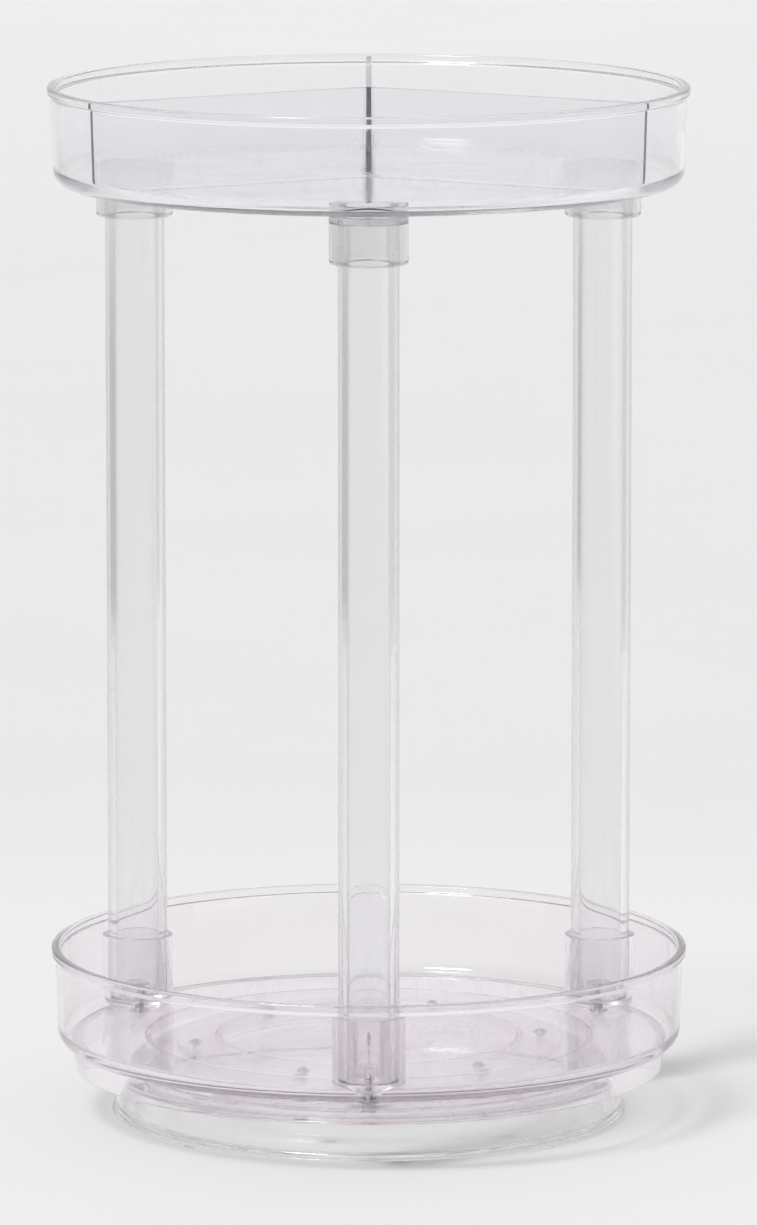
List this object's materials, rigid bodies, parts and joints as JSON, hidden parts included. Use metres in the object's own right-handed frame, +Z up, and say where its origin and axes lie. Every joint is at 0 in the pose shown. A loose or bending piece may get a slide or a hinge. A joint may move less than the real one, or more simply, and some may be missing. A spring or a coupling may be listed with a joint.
{
  "type": "lazy susan turntable",
  "caption": "Round clear plastic turntable with a lower tray on a ball race and a divided upper tray held above it on upright tubes, for turning small jars and bottles round.",
  "frame": {"origin": "on the table top, under the spindle's axis", "axes": "+Z up along the spindle, -Y towards the front post, +X to the right seen from the front"},
  "size_m": [0.235, 0.235, 0.382],
  "materials": {
    "clear_plastic": "clear, polished",
    "bright_steel": "bright",
    "natural_nylon": "satin",
    "frosted_silicone": "frosted"
  },
  "bodies": {
    "base_group": {"base": "clear_plastic", "foot_pad_1": "frosted_silicone", "foot_pad_2": "frosted_silicone", "foot_pad_3": "frosted_silicone", "foot_pad_4": "frosted_silicone", "spindle_pin": "bright_steel", "spindle_washer": "natural_nylon", "spindle_nut": "bright_steel"},
    "turntable": {"lower_tray": "clear_plastic", "upper_tray": "clear_plastic", "divider_insert": "clear_plastic", "lower_socket_1": "clear_plastic", "lower_socket_2": "clear_plastic", "lower_socket_3": "clear_plastic", "socket_screw_1": "bright_steel", "socket_screw_2": "bright_steel", "socket_screw_3": "bright_steel", "post_1": "clear_plastic", "post_2": "clear_plastic", "post_3": "clear_plastic", "upper_socket_1": "clear_plastic", "upper_socket_2": "clear_plastic", "upper_socket_3": "clear_plastic"},
    "cage": {"ball_cage": "clear_plastic"},
    "roller_1": {"ball_1": "bright_steel"},
    "roller_2": {"ball_2": "bright_steel"},
    "roller_3": {"ball_3": "bright_steel"},
    "roller_4": {"ball_4": "bright_steel"},
    "roller_5": {"ball_5": "bright_steel"},
    "roller_6": {"ball_6": "bright_steel"}
  },
  "joints": [
    {"name": "turntable_spin", "type": "hinge", "parent": "base_group", "child": "turntable", "pos_m": [0, 0, 0.0297], "axis": [0, 0, 1], "continuous": true},
    {"name": "cage_spin", "type": "hinge", "parent": "base_group", "child": "cage", "pos_m": [0, 0, 0.02442], "axis": [0, 0, 1], "continuous": true},
    {"name": "ball_1_roll", "type": "hinge", "parent": "cage", "child": "roller_1", "pos_m": [0.06382, 0.00931, 0.02442], "axis": [0.9895, 0.1444, 0], "continuous": true},
    {"name": "ball_2_roll", "type": "hinge", "parent": "cage", "child": "roller_2", "pos_m": [0.02385, 0.05993, 0.02442], "axis": [0.3697, 0.9291, 0], "continuous": true},
    {"name": "ball_3_roll", "type": "hinge", "parent": "cage", "child": "roller_3", "pos_m": [-0.03998, 0.05062, 0.02442], "axis": [-0.6198, 0.7848, 0], "continuous": true},
    {"name": "ball_4_roll", "type": "hinge", "parent": "cage", "child": "roller_4", "pos_m": [-0.06382, -0.00931, 0.02442], "axis": [-0.9895, -0.1444, 0], "continuous": true},
    {"name": "ball_5_roll", "type": "hinge", "parent": "cage", "child": "roller_5", "pos_m": [-0.02385, -0.05993, 0.02442], "axis": [-0.3697, -0.9291, 0], "continuous": true},
    {"name": "ball_6_roll", "type": "hinge", "parent": "cage", "child": "roller_6", "pos_m": [0.03998, -0.05062, 0.02442], "axis": [0.6198, -0.7848, 0], "continuous": true}
  ],
  "couplings": [
    {"joint": "cage_spin", "follows": "turntable_spin", "ratio": 0.5},
    {"joint": "ball_1_roll", "follows": "turntable_spin", "ratio": -13.55},
    {"joint": "ball_2_roll", "follows": "turntable_spin", "ratio": -13.55},
    {"joint": "ball_3_roll", "follows": "turntable_spin", "ratio": -13.55},
    {"joint": "ball_4_roll", "follows": "turntable_spin", "ratio": -13.55},
    {"joint": "ball_5_roll", "follows": "turntable_spin", "ratio": -13.55},
    {"joint": "ball_6_roll", "follows": "turntable_spin", "ratio": -13.55}
  ]
}
